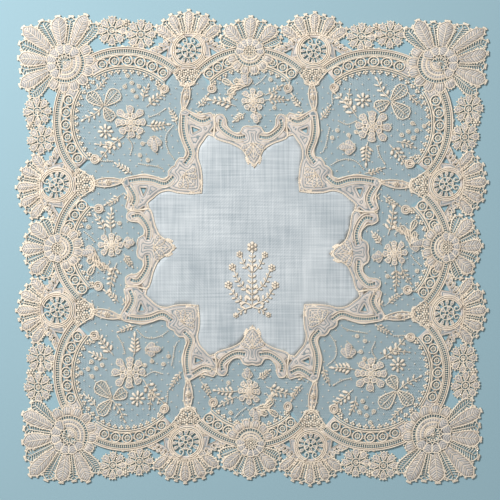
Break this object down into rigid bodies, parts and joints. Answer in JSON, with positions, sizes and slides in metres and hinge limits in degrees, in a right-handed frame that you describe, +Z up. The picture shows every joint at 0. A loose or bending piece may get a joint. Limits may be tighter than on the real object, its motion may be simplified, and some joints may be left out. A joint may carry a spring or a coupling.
{
  "type": "lace handkerchief",
  "caption": "Square needle lace handkerchief lying flat, with a lobed cambric centre, net fillings with raised roses, ringed tapes and a leafy scalloped edge.",
  "frame": {"origin": "middle of the cloth's square outline, on the surface it lies on", "axes": "+Z up out of the lace's right side, +Y to the far side (the picture's top edge), +X to the right"},
  "size_m": [0.403, 0.4054, 0.0021],
  "materials": {
    "cambric": "sheer matt woven cotton",
    "net": "fine matt twisted net",
    "tape": "matt cotton lace, corded",
    "toile": "matt cotton lace, closely worked"
  },
  "bodies": {
    "root": {"lawn": "cambric", "border_far": "tape", "border_right": "tape", "border_near": "tape", "border_left": "tape", "border_far_left": "tape", "border_far_right": "tape", "border_near_right": "tape", "border_near_left": "tape", "net_far": "net", "net_right": "net", "net_near": "net", "net_left": "net", "net_far_left": "net", "net_far_right": "net", "net_near_right": "net", "net_near_left": "net", "rose_far": "toile", "rose_right": "toile", "rose_near": "toile", "rose_left": "toile", "rose_far_left": "toile", "rose_far_right": "toile", "rose_near_right": "toile", "rose_near_left": "toile", "arc_corner_far_a": "tape", "arc_corner_far_b": "tape", "arc_corner_right_a": "tape", "arc_corner_right_b": "tape", "arc_corner_near_a": "tape", "arc_corner_near_b": "tape", "arc_corner_left_a": "tape", "arc_corner_left_b": "tape", "arc_side_far_a": "tape", "arc_side_far_b": "tape", "arc_side_right_a": "tape", "arc_side_right_b": "tape", "arc_side_near_a": "tape", "arc_side_near_b": "tape", "arc_side_left_a": "tape", "arc_side_left_b": "tape", "medallion_far_a": "tape", "medallion_far_b": "tape", "medallion_right_a": "tape", "medallion_right_b": "tape", "medallion_near_a": "tape", "medallion_near_b": "tape", "medallion_left_a": "tape", "medallion_left_b": "tape", "daisies_far_a": "toile", "daisies_far_b": "toile", "daisies_right_a": "toile", "daisies_right_b": "toile", "daisies_near_a": "toile", "daisies_near_b": "toile", "daisies_left_a": "toile", "daisies_left_b": "toile"}
  },
  "joints": []
}
